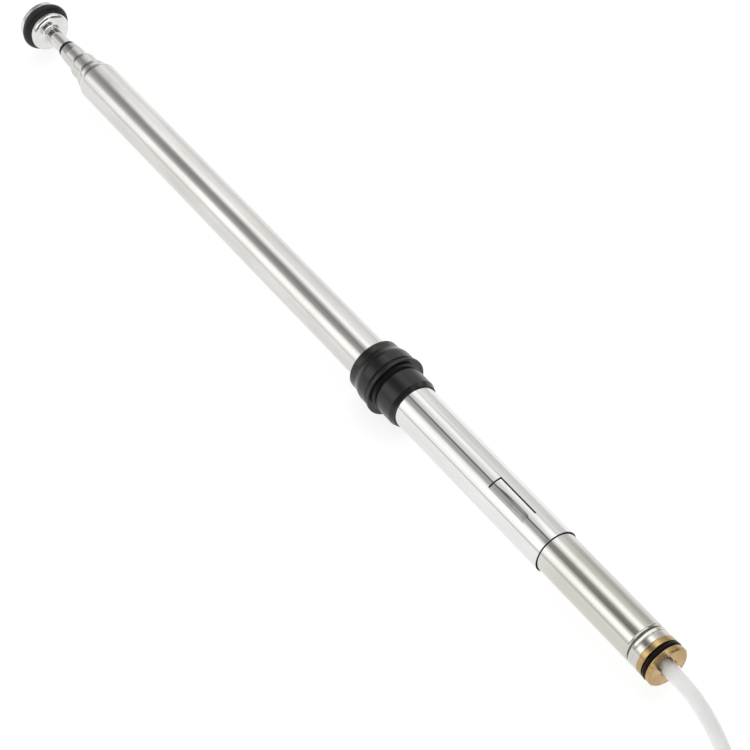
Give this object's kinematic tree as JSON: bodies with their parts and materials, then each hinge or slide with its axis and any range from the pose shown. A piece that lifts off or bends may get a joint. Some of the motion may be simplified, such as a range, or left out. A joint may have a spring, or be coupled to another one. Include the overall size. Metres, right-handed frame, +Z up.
{
  "type": "telescopic antenna mast with drive cable",
  "caption": "Collapsed telescopic metal mast with a capped tip, rubber grommet, slit contact sleeve, slotted brass end plug and a white nylon drive cable.",
  "frame": {"origin": "on the surface under the mast's axis, at the middle of the collapsed mast's length without its free cable", "axes": "+X along the mast from the cap to the cable end, +Z up from the surface that the mast lies on"},
  "size_m": [0.2964, 0.0262, 0.0128],
  "materials": {
    "plated_tube": "bright nickel-chrome plate on drawn brass tube",
    "steel_rod": "polished stainless rod",
    "cap_chrome": "turned and chromed",
    "sleeve_chrome": "bright chromed spring brass",
    "brass": "turned brass with fine lathe marks",
    "spring_bronze": "rolled bronze strip",
    "grommet_rubber": "moulded black rubber",
    "seal_rubber": "black seal rubber",
    "nylon": "natural white nylon, slightly translucent",
    "tie_plastic": "black nylon band"
  },
  "bodies": {
    "base": {"base_tube": "plated_tube", "end_plug": "brass", "plug_seal_ring": "seal_rubber", "drive_cable": "nylon", "drive_cable_hank": "nylon", "hank_tie_left": "tie_plastic", "hank_tie_right": "tie_plastic"},
    "collar": {"sealing_grommet": "grommet_rubber", "contact_sleeve": "sleeve_chrome"},
    "section_2": {"section_2_tube": "plated_tube", "section_2_stop_bush": "brass", "section_2_contact_spring": "spring_bronze"},
    "section_3": {"section_3_tube": "plated_tube", "section_3_stop_bush": "brass", "section_3_contact_spring": "spring_bronze"},
    "section_4": {"section_4_tube": "plated_tube", "section_4_stop_bush": "brass", "section_4_contact_spring": "spring_bronze", "rod_wiper_ring": "seal_rubber"},
    "rod": {"top_rod": "steel_rod", "cap": "cap_chrome", "cap_seal_ring": "seal_rubber", "rod_stop_bush": "brass", "rod_contact_spring": "spring_bronze", "cable_ferrule": "brass", "cable_core": "nylon"}
  },
  "joints": [
    {"name": "collar_slide", "type": "slide", "parent": "base", "child": "collar", "axis": [1, 0, 0], "range_m": [-0.095, 0.023]},
    {"name": "section_2_slide", "type": "slide", "parent": "base", "child": "section_2", "axis": [-1, 0, 0], "range_m": [0, 0.1635]},
    {"name": "section_3_slide", "type": "slide", "parent": "section_2", "child": "section_3", "axis": [-1, 0, 0], "range_m": [0, 0.165]},
    {"name": "section_4_slide", "type": "slide", "parent": "section_3", "child": "section_4", "axis": [-1, 0, 0], "range_m": [0, 0.1685]},
    {"name": "rod_slide", "type": "slide", "parent": "section_4", "child": "rod", "axis": [-1, 0, 0], "range_m": [0, 0.168]}
  ]
}
